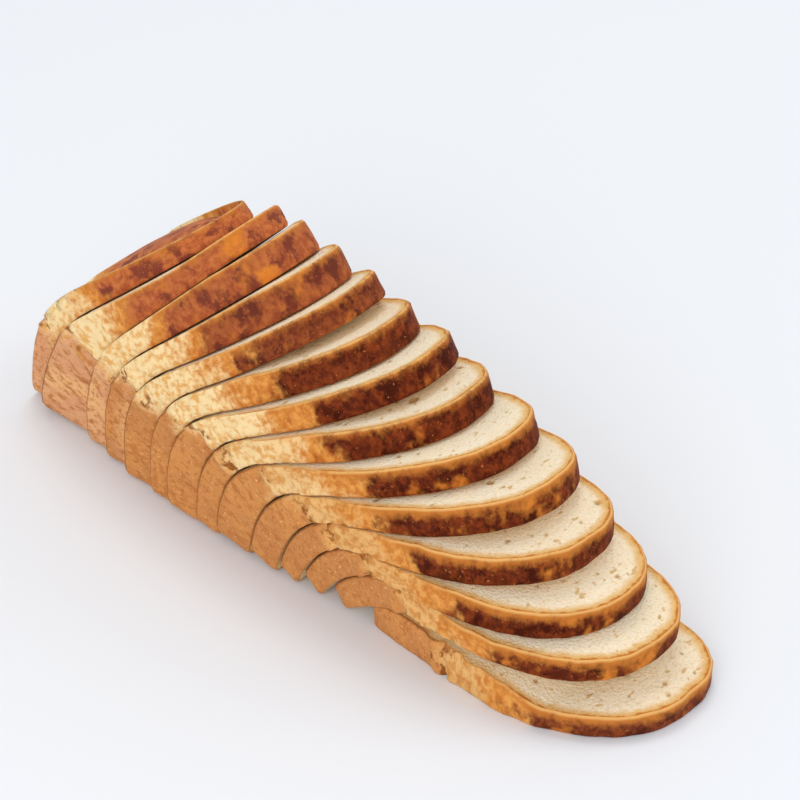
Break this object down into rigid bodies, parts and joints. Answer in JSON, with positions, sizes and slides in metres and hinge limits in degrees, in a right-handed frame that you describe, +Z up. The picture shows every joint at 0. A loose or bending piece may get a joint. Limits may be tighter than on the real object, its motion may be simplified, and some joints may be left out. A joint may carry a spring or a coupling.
{
  "type": "sliced tin loaf",
  "caption": "Sliced white tin loaf fanned out on its side: leaning slices with a domed dark crust that sag forward until the last one lies flat.",
  "frame": {"origin": "centre of the fan's outline on the surface it lies on", "axes": "+X along the row of slices, from the leaning heel to the slice that lies flat, +Z up"},
  "size_m": [0.3878, 0.1044, 0.1319],
  "materials": {
    "heel_slice": "baked crust round a pale open crumb",
    "slice_02": "baked crust round a pale open crumb",
    "slice_03": "baked crust round a pale open crumb",
    "slice_04": "baked crust round a pale open crumb",
    "slice_05": "baked crust round a pale open crumb",
    "slice_06": "baked crust round a pale open crumb",
    "slice_07": "baked crust round a pale open crumb",
    "slice_08": "baked crust round a pale open crumb",
    "slice_09": "baked crust round a pale open crumb",
    "slice_10": "baked crust round a pale open crumb",
    "slice_11": "baked crust round a pale open crumb",
    "slice_12": "baked crust round a pale open crumb",
    "slice_13": "baked crust round a pale open crumb",
    "end_slice": "baked crust round a pale open crumb"
  },
  "bodies": {
    "root": {"heel_slice": "heel_slice", "slice_02": "slice_02", "slice_03": "slice_03", "slice_04": "slice_04", "slice_05": "slice_05", "slice_06": "slice_06", "slice_07": "slice_07", "slice_08": "slice_08", "slice_09": "slice_09", "slice_10": "slice_10", "slice_11": "slice_11", "slice_12": "slice_12", "slice_13": "slice_13", "end_slice": "end_slice"}
  },
  "joints": []
}
